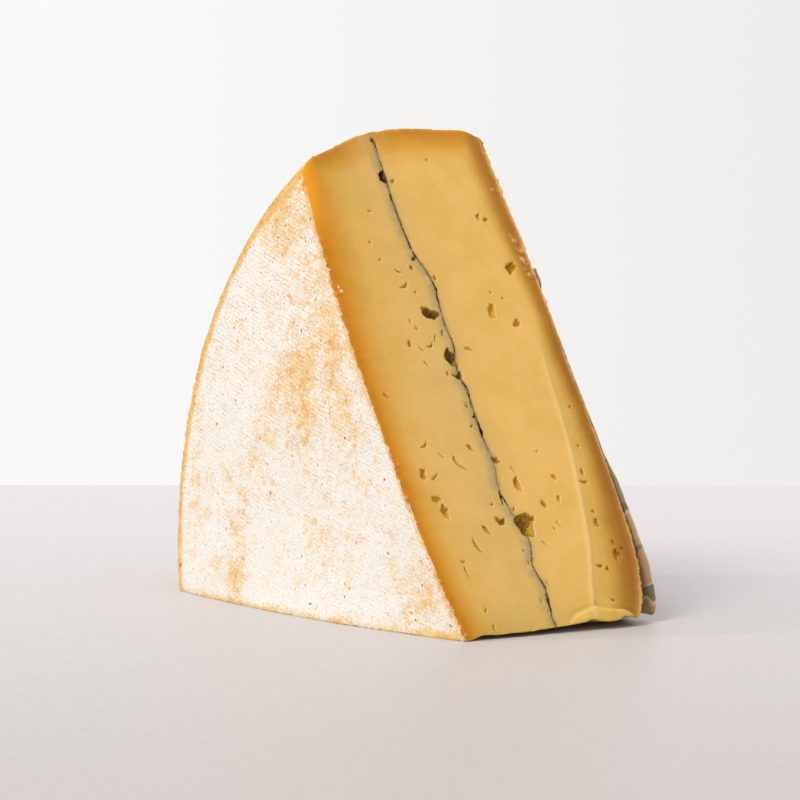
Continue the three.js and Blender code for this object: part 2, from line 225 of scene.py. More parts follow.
ALONG_WHEEL = np.array([1.0, 0.0, 0.0])
UP_THE_CUT = np.array([0.0, math.cos(CUT_ANGLE), math.sin(CUT_ANGLE)])
INTO_THE_CUT = np.array([0.0, math.sin(CUT_ANGLE), -math.cos(CUT_ANGLE)])
UP = np.array([0.0, 0.0, 1.0])
WHEEL_AXIS = np.array([WHEEL_CENTRE_Y, WHEEL_CENTRE_Z])


def in_frame(points):
    """Points of the wheel's frame, in millimetres, as metres in the shared frame."""
    return (np.asarray(points) + TIP_CORNER) / METRE


def in_wheel(points):
    """The way back."""
    return np.asarray(points) * METRE - TIP_CORNER


# ---- Curves and noise ----


def columns(*parts):
    return np.stack(np.broadcast_arrays(*parts), axis=-1).astype(float)


def smooth(t):
    t = np.clip(t, 0, 1)
    return t * t * (3 - 2 * t)


def spline(points):
    """A smooth function through (place, value) points, flat beyond its ends."""
    at, value = np.array(points, float).T
    slope = np.gradient(value, at)

    def curve(t):
        t = np.clip(t, at[0], at[-1])
        i = np.clip(np.searchsorted(at, t) - 1, 0, len(at) - 2)
        gap = at[i + 1] - at[i]
        s = (t - at[i]) / gap
        rise = 3 * s**2 - 2 * s**3
        bends = (s**3 - 2 * s**2 + s) * slope[i] + (s**3 - s**2) * slope[i + 1]
        return value[i] * (1 - rise) + value[i + 1] * rise + bends * gap

    return curve


rim_section = spline(RIM_SECTION)
bottom_edge = spline(BOTTOM_EDGE)
ash_line = spline(ASH_LINE)
ash_thickness = spline(ASH_THICKNESS)
crease = spline(CREASE)
lip_edge = spline(LIP_EDGE)

NOISE_CELLS = 64


@functools.cache
def noise_table(seed):
    return np.random.default_rng(seed).uniform(-1.6, 1.6, (NOISE_CELLS,) * 3)


def noise(places, size, seed):
    """Smooth noise from about -1 to 1, with lumps that are about size across."""
    table = noise_table(seed)
    scaled = np.asarray(places, float) / size
    cell = np.floor(scaled).astype(int)
    part = smooth(scaled - cell)
    total = np.zeros(len(scaled))
    for corner in itertools.product((0, 1), repeat=3):
        weight = np.prod(np.where(corner, part, 1 - part), axis=1)
        i, j, k = ((cell + corner) % NOISE_CELLS).T
        total += weight * table[i, j, k]
    return total


def noise_on(u, v, size, seed):
    """Noise over a flat layout."""
    u, v = np.broadcast_arrays(u, v)
    flat = columns(np.ravel(u), np.ravel(v), 0.37 * size)
    return noise(flat, size, seed).reshape(np.shape(u))


def lumps_on(u, v, lumps, seed):
    """Lumps over a flat layout, from pairs of size and height."""
    return sum(height * noise_on(u, v, size, seed + i) for i, (size, height) in enumerate(lumps))


def bell(t):
    return np.exp(-(t**2))


def turned(u, v, angle):
    return u * math.cos(angle) - v * math.sin(angle), u * math.sin(angle) + v * math.cos(angle)


# ---- The wheel's surfaces ----


def from_axis(y, z):
    return np.hypot(y - WHEEL_CENTRE_Y, z - WHEEL_CENTRE_Z)


def turn_at(y, z):
    """How far round the wheel's axis a point is from the direction along the base."""
    return np.arctan2(z - WHEEL_CENTRE_Z, y - WHEEL_CENTRE_Y)


def on_circle(radius, turn):
    return WHEEL_CENTRE_Y + radius * np.cos(turn), WHEEL_CENTRE_Z + radius * np.sin(turn)


def crown(height, fullness, radius, side_radius):
    return height * (1 - (radius / side_radius) ** fullness)


def bare_side(y, z):
    """Where the bare flat side is along the wheel's axis."""
    swell = crown(BARE_CROWN, BARE_FULLNESS, from_axis(y, z), BARE_RADIUS)
    along_base = np.sin(np.pi * np.clip(y / WEDGE_LENGTH, 0, 1))
    spread = BARE_SPREAD * along_base * np.exp(-np.abs(z) / BARE_SPREAD_FADE)
    pull = BARE_TIP_PULL * np.exp(-np.hypot(y, z) / BARE_TIP_FADE)
    return pull - swell - spread + lumps_on(y, z, BARE_LUMPS, 11)


def plain_labelled_side(y, z):
    """The labelled flat side without its soft tip and its lumps."""
    return RIM_THICKNESS + crown(LABELLED_CROWN, LABELLED_FULLNESS, from_axis(y, z), LABELLED_RADIUS)


def labelled_side(y, z):
    pull = LABELLED_TIP_PULL * np.exp(-np.hypot(y, z) / LABELLED_TIP_FADE)
    return plain_labelled_side(y, z) - pull + lumps_on(y, z, LABELLED_LUMPS, 21)


def rim_radius(x, turn):
    """How far the rim is from the wheel's axis."""
    between = smooth(x / RIM_EASE) * smooth((RIM_THICKNESS - x) / RIM_EASE)
    return rim_section(x) - between * np.abs(lumps_on(x, MEAN_RADIUS * turn, RIM_LUMPS, 31))


def on_rim(x, turn):
    return columns(x, *on_circle(rim_radius(x, turn), turn))


def under_sides(x, y, z):
    """How deep a point is under the bare side, the labelled side and the rim."""
    return x - bare_side(y, z), labelled_side(y, z) - x, rim_section(x) - from_axis(y, z)


def base_height(x, y):
    """How high the base cut is. It lies flat but for the toe, which lifts towards the tip."""
    lift = bottom_edge(x) * math.sin(CUT_ANGLE)
    from_tip = y - bottom_edge(x) * math.cos(CUT_ANGLE)
    return np.maximum(-BASE_DROP, lift - TOE_SLOPE * from_tip)


def lip_height(up, across):
    """How far the squashed lip stands out from the cut, and the groove above it goes in."""
    below = lip_edge(across) + 0.3 * noise_on(across, up / 4, 3, 44) - up
    on_lip = smooth((across - LIP_START) / LIP_EASE) * smooth((LIP_END - across) / LIP_EASE)
    folded = smooth(below / 1.1) * (0.7 + 0.3 * np.cos(np.clip(below - 1, 0, 6) / 6 * np.pi))
    folded = folded * (1 + 0.3 * noise_on(up, across, 4, 46))
    return (LIP_HEIGHT * folded - LIP_GROOVE * bell((below + 0.5) / 0.6)) * on_lip


def crumb_height(up, across):
    """How high crumbs stand on the upper cut."""
    height = 0.0
    for crumb_up, crumb_across, size, high in CRUMBS:
        height = height + high * bell(((up - crumb_up) ** 2 + (across - crumb_across) ** 2) / size**2)
    return height * (1 + 0.4 * noise_on(up, across, 0.9, 45))


def cut_height(up, across):
    """How far the upper cut stands out from its plane."""
    knife = 0.1 * noise_on(up, across / 3, 14, 41) + 0.05 * noise_on(up / 3, across, 6, 42)
    knife = knife + 0.025 * noise_on(up, across, 1.7, 43)
    beyond = across - crease(up)
    running = smooth((CREASE_END - up) / 30) * smooth((up - 5) / 4)
    step = STEP_DEPTH * smooth(beyond / 2.4 + 0.1) * running
    tilt = math.tan(STEP_TILT) * np.maximum(beyond, 0)
    ridge = RIDGE_HEIGHT * bell((beyond + 0.5) / RIDGE_WIDTH) * running
    sides = under_sides(across, up * UP_THE_CUT[1], up * UP_THE_CUT[2])
    to_bare, to_label, to_rim = (np.maximum(gap, 0) for gap in sides)
    rounded = 0.12 + 0.3 * smooth((CREASE_END - up) / 20)
    worn = rounded * np.exp(-to_label / 1.4) + 0.15 * np.exp(-to_bare / 0.6) + 0.15 * np.exp(-to_rim / 0.8)
    return knife + ridge - step - tilt - worn + lip_height(up, across) + crumb_height(up, across)


def in_cheese(up, across, depth):
    """Points at distances up the upper cut, across it and into the cheese behind it."""
    parts = (up, UP_THE_CUT), (across, ALONG_WHEEL), (depth, INTO_THE_CUT)
    return sum(np.multiply.outer(distance, direction) for distance, direction in parts)


def on_upper_cut(up, across):
    return in_cheese(up, across, -cut_height(up, across))


# ---- Filling an outline with triangles ----


def inside(places, outline):
    """Which flat places lie inside a closed outline."""
    found = np.zeros(len(places), bool)
    for (ax, ay), (bx, by) in zip(outline, np.roll(outline, -1, axis=0)):
        if ay == by:
            continue
        level = (ay > places[:, 1]) != (by > places[:, 1])
        found ^= level & (places[:, 0] < ax + (bx - ax) * (places[:, 1] - ay) / (by - ay))
    return found


def ring_of(count, first=0):
    """The ties that close a ring of points."""
    return [(first + i, first + (i + 1) % count) for i in range(count)]


def triangulate(places, ties, outline):
    """Triangles between flat places that keep the ties, the first of which close the outline."""
    layout = [Vector(place) for place in places.tolist()]
    _, _, faces, sources, _, _ = delaunay_2d_cdt(layout, ties, [], 0, 1e-7, True)
    faces = np.array([[sources[i][0] for i in face] for face in faces])
    # Triangles outside the outline have only its points as corners.
    doubtful = np.flatnonzero((faces < len(outline)).all(axis=1))
    centres = places[faces[doubtful]].mean(axis=1)
    return np.delete(faces, doubtful[~inside(centres, outline)], axis=0)


def nearest(places, targets):
    """How far each place is from the nearest target, and which one that is."""
    tree = kdtree.KDTree(len(targets))
    for i, target in enumerate(targets):
        tree.insert(Vector(target).to_3d(), i)
    tree.balance()
    found = [tree.find(Vector(place).to_3d()) for place in places]
    return np.array([f[2] for f in found]), np.array([f[1] for f in found])


def lattice(outline, finest, spacing, rng):
    """Points inside an outline, on a square lattice that is halved where spacing asks for it."""
    low, high = outline.min(axis=0), outline.max(axis=0)
    counts = np.ceil((high - low) / finest).astype(int)
    i, j = (a.ravel() for a in np.meshgrid(*(np.arange(1, n) for n in counts), indexing="ij"))
    step = finest * ((i | j) & -(i | j))
    places = low + finest * columns(i, j)
    places += 0.14 * np.minimum(step, 2)[:, None] * rng.uniform(-1, 1, places.shape)
    kept = inside(places, outline)
    places, step = places[kept], step[kept]
    edge_gap, which = nearest(places, outline)
    edge_step = np.linalg.norm(outline - np.roll(outline, -1, axis=0), axis=1)
    clear = np.maximum(edge_step, np.roll(edge_step, 1))[which]
    kept = (step > 0.75 * spacing(places, edge_gap)) & (edge_gap > 0.62 * clear)
    return places[kept]


def graded(fine, coarse, reach):
    """A spacing that is fine at the outline and coarse past reach."""
    return lambda places, gap: fine + (coarse - fine) * np.clip(gap / reach, 0, 1)


def near_ash(places, gap):
    """The spacing on the upper cut: fine at its outline, and along the ash, the crease and the lip."""
    up, across = places.T
    to_ash = np.abs(across - ash_line(up))
    to_crease = np.abs(across - crease(up))
    at_lip = smooth((12 - up) / 4) * smooth((across - 34) / 4)
    wanted = np.minimum(gap / 2.5, np.minimum(np.maximum(to_ash - 0.8, 0) / 1.5, to_crease / 2.5))
    return 0.4 + 0.5 * np.clip(wanted * (1 - at_lip), 0, 1)


# ---- The eyes ----


def base_spiral():
    """Eyes on the base cut, as in EYES but with the distance from the tip first."""
    eyes = []
    for i in range(BASE_EYES):
        reach = math.sqrt((i + 0.5) / BASE_EYES)
        y = BASE_EYE_MIDDLE[0] + BASE_EYE_SPREAD[0] * reach * math.cos(i * GOLDEN_TURN)
        x = BASE_EYE_MIDDLE[1] + BASE_EYE_SPREAD[1] * reach * math.sin(i * GOLDEN_TURN)
        size = BASE_EYE_SIZE * (1 + 0.6 * math.sin(5 * i))
        eyes.append((y, x, 1.5 * size, 0.9 * size, size, 40 * math.sin(3 * i), 0.3 * math.sin(7 * i)))
    return eyes


def pit_rings(eye, seed):
    """An eye as rings from its mouth to its bottom: (flat places for triangulating, real places, depths)."""
    up, across, length, width, depth, lean, bend = eye
    longest = max(length, width)
    rng = np.random.default_rng(1000 + seed)
    count = max(10, round(math.pi * (length + width) / 2 / RING_STEP))
    turn = np.linspace(0, 2 * math.pi, count, endpoint=False)
    uneven = np.ones(count)
    ragged = EYE_RAGGEDNESS * min(1, 4 / longest)
    for k in (2, 3, 4, 5, 7):
        uneven += ragged * rng.uniform(0.4, 1) / math.sqrt(k) * np.cos(k * turn + rng.uniform(0, 6.3))
    for s in np.linspace(1, 0, 4 + round(depth / RING_GAP))[:-1]:
        wide = math.sin(MOUTH_ANGLE * s) / math.sin(MOUTH_ANGLE)
        sink = (math.cos(MOUTH_ANGLE * s) - math.cos(MOUTH_ANGLE)) / (1 - math.cos(MOUTH_ANGLE))
        shaped = []
        for size in (s, wide * (1 + EYE_ROUGHNESS * (s < 1) * rng.uniform(-1, 1, count))):
            along = length / 2 * uneven * size * np.cos(turn)
            aside = width / 2 * uneven * size * np.sin(turn)
            if length >= width:
                aside = aside + bend * longest * 0.35 * (2 * along / length) ** 2
            else:
                along = along + bend * longest * 0.35 * (2 * aside / width) ** 2
            shaped.append(columns(*turned(along, aside, math.radians(lean))) + (up, across))
        yield *shaped, depth * sink * (1 + 0.1 * (s < 1) * rng.uniform(-1, 1, count))


# ---- The skin ----

RIND, CUT = 0, 1
SETTLE = 6  # rounds in which a point is moved onto both of its surfaces


class Skin:
    """A closed surface made of patches. Neighbouring patches share the points of the edge between them."""

    def __init__(self):
        self.points = np.zeros((0, 3))
        self.faces = []
        self.kinds = []

    def add(self, points):
        first = len(self.points)
        self.points = np.concatenate([self.points, np.reshape(points, (-1, 3))])
        return np.arange(first, len(self.points))

    def edge(self, start, points, end):
        """The ids along an edge between two corners. The first and last points are those corners."""
        return np.concatenate([[start], self.add(points[1:-1]), [end]])

    def patch(self, loop, flat, place, finest, spacing, kind, seed, pits=(), inward=UP, flip=False):
        """Fills a loop of ids: flat() lays points out on a plane, and place() puts flat places back."""
        rng = np.random.default_rng(seed)
        outline = flat(self.points[loop])
        ids = [loop]
        layout = [outline]
        ties = ring_of(len(loop))
        mouths = []
        for number, eye in enumerate(pits):
            for ring, (flat_places, real, depths) in enumerate(pit_rings(eye, seed + number)):
                if ring == 0:
                    mouths.append(flat_places)
                ties += ring_of(len(flat_places), len(ties))
                ids.append(self.add(place(*real.T) + np.multiply.outer(depths, inward)))
                layout.append(flat_places)
        inner = lattice(outline, finest, spacing, rng)
        for mouth in mouths:
            inner = inner[~inside(inner, mouth)]
        if mouths:
            gap, _ = nearest(inner, np.concatenate(mouths))
            inner = inner[gap > EYE_CLEARANCE]
        ids.append(self.add(place(*inner.T)))
        layout.append(inner)
        faces = np.concatenate(ids)[triangulate(np.concatenate(layout), ties, outline)]
        self.faces += (faces[:, ::-1] if flip else faces).tolist()
        self.kinds += [kind] * len(faces)


def steps(start, end, spacing):
    return np.linspace(start, end, max(2, round(abs(end - start) / spacing) + 1))


def meeting(up, side):
    """Points where the upper cut meets a flat side, at distances up the cut."""
    across = np.zeros_like(up)
    for _ in range(SETTLE):
        points = on_upper_cut(up, across)
        across = side(points[:, 1], points[:, 2])
    return on_upper_cut(up, across)


# The corners that a flat side of that radius has at the tip, at the top and at the heel of the wedge.


def tip_corner(side, radius):
    up = np.array([0.0])
    for _ in range(SETTLE):
        up = bottom_edge(meeting(up, side)[:, 0])
    return meeting(up, side)


def top_corner(side, radius):
    up = np.array([radius])
    for _ in range(SETTLE):
        point = meeting(up, side)
        up = up + radius - from_axis(point[:, 1], point[:, 2])
    return meeting(up, side)


def heel_corner(side, radius):
    y = WHEEL_CENTRE_Y + math.sqrt(radius**2 - (BASE_DROP + WHEEL_CENTRE_Z) ** 2)
    return columns(side(np.array([y]), np.array([-BASE_DROP])), y, -BASE_DROP)


# Points along each kind of edge, from the corner that comes first in ends to the other one.


def cut_meets_side(ends, spacing, side):
    return meeting(steps(*ends @ UP_THE_CUT, spacing), side)


def cut_meets_rim(ends, spacing, side):
    across = steps(*ends[:, 0], spacing)
    up = np.full_like(across, 178.0)
    for _ in range(2 * SETTLE):
        points = on_upper_cut(up, across)
        y, z = points[:, 1:].T
        up = up + rim_radius(across, turn_at(y, z)) - from_axis(y, z)
    return on_upper_cut(up, across)


def cut_meets_base(ends, spacing, side):
    across = steps(*ends[:, 0], spacing)
    return on_upper_cut(bottom_edge(across), across)


def base_meets_side(ends, spacing, side):
    y = steps(*ends[:, 1], spacing)
    x = np.linspace(*ends[:, 0], len(y))
    for _ in range(SETTLE):
        z = base_height(x, y)
        x = side(y, z)
    return columns(x, y, z)


def base_meets_rim(ends, spacing, side):
    x = steps(*ends[:, 0], spacing)
    turn = np.full_like(x, -0.1)
    for _ in range(SETTLE):
        turn = np.arcsin((-BASE_DROP - WHEEL_CENTRE_Z) / rim_radius(x, turn))
    return on_rim(x, turn)


def side_meets_rim(ends, spacing, side):
    radius = from_axis(*ends[0, 1:])
    turns = steps(*turn_at(ends[:, 1], ends[:, 2]), spacing / radius)
    y, z = on_circle(radius, turns)
    return columns(side(y, z), y, z)


def cheese_skin():
    """The skin, and each of its edges: the ids along it, and how deep it crumbles."""
    skin = Skin()
    sides = (bare_side, BARE_RADIUS), (labelled_side, LABELLED_RADIUS)
    wheres = tip_corner, top_corner, heel_corner
    corners = [skin.add(where(*side))[0] for where, side in itertools.product(wheres, sides)]
    tip_bare, tip_label, top_bare, top_label, heel_bare, heel_label = corners

    edges = {}
    for name, start, end, points_along, side, spacing, crumbling in (
        ("cut_bare", tip_bare, top_bare, cut_meets_side, bare_side, 0.45, 0.42),
        ("cut_label", tip_label, top_label, cut_meets_side, labelled_side, 0.5, 0.24),
        ("cut_rim", top_bare, top_label, cut_meets_rim, None, 0.5, 0.18),
        ("cut_base", tip_bare, tip_label, cut_meets_base, None, 0.45, 0.14),
        ("base_bare", tip_bare, heel_bare, base_meets_side, bare_side, 0.6, 0.16),
        ("base_label", tip_label, heel_label, base_meets_side, labelled_side, 0.9, 0.12),
        ("base_rim", heel_bare, heel_label, base_meets_rim, None, 0.9, 0.12),
        ("bare_rim", heel_bare, top_bare, side_meets_rim, bare_side, 0.6, 0.14),
        ("label_rim", heel_label, top_label, side_meets_rim, labelled_side, 0.9, 0.1),
    ):
        points = points_along(skin.points[[start, end]], spacing, side)
        edges[name] = (skin.edge(start, points, end), crumbling)

    def loop(*names):
        """Edges from each corner to the next one, as a closed loop. A minus means from end to start."""
        runs = [edges[name.strip("-")][0][:: -1 if name[0] == "-" else 1] for name in names]
        return np.concatenate([ids[:-1] for ids in runs])

    skin.patch(
        loop("cut_base", "cut_label", "-cut_rim", "-cut_bare"),
        lambda p: columns(p @ UP_THE_CUT, p[:, 0]), on_upper_cut,
        0.4, near_ash, CUT, 100, EYES, INTO_THE_CUT, flip=True,
    )
    skin.patch(
        loop("base_bare", "base_rim", "-base_label", "-cut_base"),
        lambda p: p[:, [1, 0]], lambda y, x: columns(x, y, base_height(x, y)),
        0.7, graded(0.7, 1.4, 4), CUT, 200, base_spiral(),
    )
    skin.patch(
        loop("base_bare", "bare_rim", "-cut_bare"),
        lambda p: p[:, 1:], lambda y, z: columns(bare_side(y, z), y, z),
        0.42, graded(0.4, 0.9, 1.6), RIND, 300, flip=True,
    )
    skin.patch(
        loop("base_label", "label_rim", "-cut_label"),
        lambda p: p[:, 1:], lambda y, z: columns(labelled_side(y, z), y, z),
        0.7, graded(0.7, 1.4, 3), RIND, 400,
    )
    skin.patch(
        loop("base_rim", "label_rim", "-cut_rim", "-bare_rim"),
        lambda p: columns(p[:, 0], MEAN_RADIUS * turn_at(p[:, 1], p[:, 2])),
        lambda x, arc: on_rim(x, arc / MEAN_RADIUS),
        0.6, graded(0.6, 1.2, 3), RIND, 500, flip=True,
    )
    return skin, edges


def crumble(points, edges):
    """Moves points near the edges a little, in all directions, as they crumble under the knife."""
    targets = np.concatenate([points[ids] for ids, _ in edges.values()])
    depths = np.concatenate([np.full(len(ids), depth) for ids, depth in edges.values()])
    gap, which = nearest(points, targets)
    worst = 0.7 + 0.6 * noise(points, 9.0, 50)
    reach = depths[which] * np.exp(-gap / 0.9) * worst
    moved = points.copy()
    for axis in range(3):
        moved[:, axis] += reach * (noise(points, 1.5, 51 + axis) + 0.7 * noise(points, 0.75, 54 + axis))
    moved[:, 1] = np.maximum(moved[:, 1], 0.01 * moved[:, 2])  # the tip stays as blunt as the knife left it
    moved[:, 2] = np.maximum(moved[:, 2], -BASE_DROP)
    return moved


# ---- Mesh objects ----


def put(name, data):
    """A new object in the scene."""
    made = bpy.data.objects.new(name, data)
    bpy.context.scene.collection.objects.link(made)
    return made


def mesh_object(name, points, faces, materials, kinds=0):
    """A mesh object from points in the wheel's frame. Kinds say which material each face has."""
    mesh = bpy.data.meshes.new(name)
    mesh.from_pydata(in_frame(points).tolist(), [], faces)
    mesh.polygons.foreach_set("use_smooth", np.ones(len(faces), bool))
    for material in materials:
        mesh.materials.append(material)
    mesh.polygons.foreach_set("material_index", np.full(len(faces), kinds, np.int32))
    mesh.update()
    return put(name, mesh)


def carve(piece, operation, tool):
    """Cuts a piece with another, or keeps only what they share."""
    cut = piece.modifiers.new("carve", "BOOLEAN")
    cut.operation = operation
    cut.solver = "MANIFOLD"
    cut.material_mode = "TRANSFER"
    cut.object = tool
    with bpy.context.temp_override(object=piece, active_object=piece, selected_objects=[piece]):
        bpy.ops.object.modifier_apply(modifier=cut.name)


def ash_sheet(name, extra, material):
    """The ash as a thin wavy sheet that goes straight into the cheese, thicker by extra on each side."""
    centre_up = float(WHEEL_AXIS @ UP_THE_CUT[1:])
    centre_in = float(WHEEL_AXIS @ INTO_THE_CUT[1:])
    radius = ASH_RADIUS + extra
    top = centre_up + radius - 0.01
    ups = np.concatenate([np.arange(ASH_START, top - 2, ASH_STEP), top - 2 * np.linspace(1, 0, 9) ** 2])
    half = np.sqrt(np.maximum(radius**2 - (ups - centre_up) ** 2, 1e-4))
    first = np.maximum(-4.0, centre_in - half)
    depth = first[:, None] + (centre_in + half - first)[:, None] * np.linspace(0, 1, 16) ** 2
    up = np.repeat(ups[:, None], depth.shape[1], axis=1)

    sway = 0.25 * noise_on(depth, up, 9, 61) * smooth(depth / 5) + 0.22 * noise_on(up, depth / 6, 2.6, 62)
    middle = ash_line(up) + sway
    ragged = 1 + 0.75 * noise_on(up, depth / 3, 1.2, 63)
    half = np.maximum(ash_thickness(up) * ragged, ASH_THINNEST) / 2 + extra
    there = in_cheese(up, middle + half, depth)
    back = in_cheese(up, (middle - half)[:, ::-1], depth[:, ::-1])
    rings = np.concatenate([there, back], axis=1)

    count, around = rings.shape[:2]
    faces = []
    for i in range(count - 1):
        for j, k in ring_of(around, i * around):
            faces.append((j, k, k + around, j + around))
    faces.append(tuple(range(around))[::-1])
    faces.append(tuple((count - 1) * around + j for j in range(around)))
    return mesh_object(name, rings.reshape(-1, 3), faces, [material])


def label_side(y, z):
    """Where the label's inner face is along the wheel's axis: flat at the tip, off the rind at its top."""
    to_cut = np.abs(y * INTO_THE_CUT[1] + z * INTO_THE_CUT[2])
    curl = LABEL_CURL * smooth((from_axis(y, z) - 86) / 18) * np.exp(-to_cut / 9)
    return plain_labelled_side(y, z) + LABEL_OFF_SIDE + curl + lumps_on(y, z, LABEL_LUMPS, 71)


def label_outline():
    """The label's edge as seen from the side: a stretch of circle, the cut, a blunt tip and the base."""
    to_cut = float(WHEEL_AXIS @ INTO_THE_CUT[1:])
    reach_up = float(WHEEL_AXIS @ UP_THE_CUT[1:]) + math.sqrt(LABEL_RADIUS**2 - to_cut**2)
    corner = reach_up * UP_THE_CUT[1:]
    lowest = math.asin((LABEL_LIFT - WHEEL_CENTRE_Z) / LABEL_RADIUS)
    arc = columns(*on_circle(LABEL_RADIUS, steps(lowest, turn_at(*corner), LABEL_STEP / LABEL_RADIUS)))
    heights = steps(corner[1], 17, LABEL_STEP)[1:]
    behind_edge = 1.9 * smooth((heights - 42) / 9) * smooth((103.5 - heights) / 4)
    along_cut = columns(heights / math.tan(CUT_ANGLE) + behind_edge, heights)
    tip = []
    start = along_cut[-1]
    for end in np.array(LABEL_TIP):
        count = max(1, round(np.linalg.norm(end - start) / LABEL_STEP))
        tip += [start + (end - start) * (i + 1) / count for i in range(count)]
        start = end
    base = columns(steps(start[0], arc[0][0], LABEL_STEP)[1:-1], LABEL_LIFT)
    outline = np.concatenate([arc, along_cut, tip, base])
    return outline + 0.12 * columns(noise_on(*outline.T, 2, 73), noise_on(*outline.T, 2, 74))


def label_mesh(materials):
    """The label as a thin closed sheet: printed face, back and edge."""
    outline = label_outline()
    inner = lattice(outline, LABEL_STEP, graded(LABEL_STEP, 1.8, 4), np.random.default_rng(700))
    places = np.concatenate([outline, inner])
    ties = ring_of(len(outline))
    faces = triangulate(places, ties, outline).tolist()
    back = columns(label_side(*places.T), *places.T)
    front = back + (LABEL_THICKNESS, 0, 0)
    total = len(places)
    walls = [(i, j, total + j, total + i) for i, j in ties]
    all_faces = [face[::-1] for face in faces] + [[total + i for i in face] for face in faces] + walls
    kinds = [1] * len(faces) + [0] * len(faces) + [2] * len(walls)
    return mesh_object("paper_label", np.concatenate([back, front]), all_faces, materials, kinds)


def note_places(piece):
    """Keeps with each point how far it is from the wheel's surfaces, in millimetres, for the materials."""
    mesh = piece.data
    flat = np.empty(3 * len(mesh.vertices))
    mesh.vertices.foreach_get("co", flat)
    points = in_wheel(flat.reshape(-1, 3))
    x, y, z = points.T
    up = points @ UP_THE_CUT
    under_cut = points @ INTO_THE_CUT + cut_height(up, x)
    above_base = z - base_height(x, y)
    to_bare, to_labelled, to_rim = under_sides(x, y, z)
    on_a_side = np.minimum(to_bare, to_labelled) < to_rim
    u = np.where(on_a_side, y, MEAN_RADIUS * turn_at(y, z))
    v = np.where(on_a_side, z, x)
    cloth_u, cloth_v = turned(u, v, CLOTH_TURN)
    patches = 0.0
    for patch_y, patch_z, wide, high, strength in WORN_PATCHES:
        patches = patches + strength * bell((y - patch_y) / wide) * bell((z - patch_z) / high)
    notes = {
        "to_bare": to_bare, "to_labelled": to_labelled, "to_rim": to_rim, "to_base": above_base,
        "to_cut": under_cut, "sunk": np.minimum(under_cut, above_base), "up_cut": up,
        "to_ash": x - ash_line(up), "to_crease": x - crease(up),
        "lip": lip_height(up, x), "crumb": crumb_height(up, x), "cloth_u": cloth_u, "cloth_v": cloth_v,
        "from_print": np.hypot(y - PRINT_CENTRE[0], z - PRINT_CENTRE[1]),
        "worn_patch": np.where(to_bare < 10, patches, 0.1),
    }
    for name, values in notes.items():
        mesh.attributes.new(name, "FLOAT", "POINT").data.foreach_set("value", values.astype(np.float32))


# ---- Nodes ----


def linear(rgb):
    """An sRGB colour of three 8-bit numbers as linear light."""
    share = np.array(rgb) / 255
    return np.where(share <= 0.04045, share / 12.92, ((share + 0.055) / 1.055) ** 2.4)


class Value:
    """What a node gives. Sums and products with it, its size without a sign and its ramps are nodes too."""

    def __init__(self, nodes, socket):
        self.nodes = nodes
        self.socket = socket

    def math(self, operation, *others):
        return self.nodes.add("ShaderNodeMath", 0, dict(enumerate((self, *others))), operation=operation)

    def __add__(self, other):
        return self.math("ADD", other)

    def __sub__(self, number):
        return self.math("ADD", -number)

    def __mul__(self, other):
        return self.math("MULTIPLY", other)

    def __abs__(self):
        return self.math("ABSOLUTE")

    def ramp(self, low, high, start=0.0, end=1.0):
        """Runs smoothly from start to end as this goes from low to high."""
        values = {"Value": self, "From Min": low, "From Max": high, "To Min": start, "To Max": end}
        settings = {"interpolation_type": "SMOOTHSTEP", "clamp": True}
        return self.nodes.add("ShaderNodeMapRange", "Result", values, **settings)

    def fade(self, low, high):
        return self.ramp(low, high, 1.0, 0.0)


class Nodes:
    """A node tree and short ways to add to it. What goes into a node is a number, a colour or a Value."""

    def __init__(self, tree):
        self.tree = tree

    def give(self, socket, value):
        if isinstance(value, Value):
            self.tree.links.new(value.socket, socket)
        elif socket.type == "RGBA":
            socket.default_value = (*value, 1)
        else:
            socket.default_value = value

    def add(self, kind, output, values, **settings):
        made = self.tree.nodes.new(kind)
        for name, setting in settings.items():
            setattr(made, name, setting)
        for name, value in values.items():
            self.give(made.inputs[name], value)
        return Value(self, made.outputs[output])

    def place(self, kind):
        return self.add("ShaderNodeTexCoord", kind, {})

    def along(self, place, direction):
        """How far a place is in a direction."""
        return self.add("ShaderNodeVectorMath", "Value", {0: place, 1: direction}, operation="DOT_PRODUCT")

    def mix(self, share, a, b, blend="MIX"):
        values = {0: share, 6: a, 7: b}
        return self.add("ShaderNodeMix", 2, values, data_type="RGBA", blend_type=blend, clamp_factor=True)


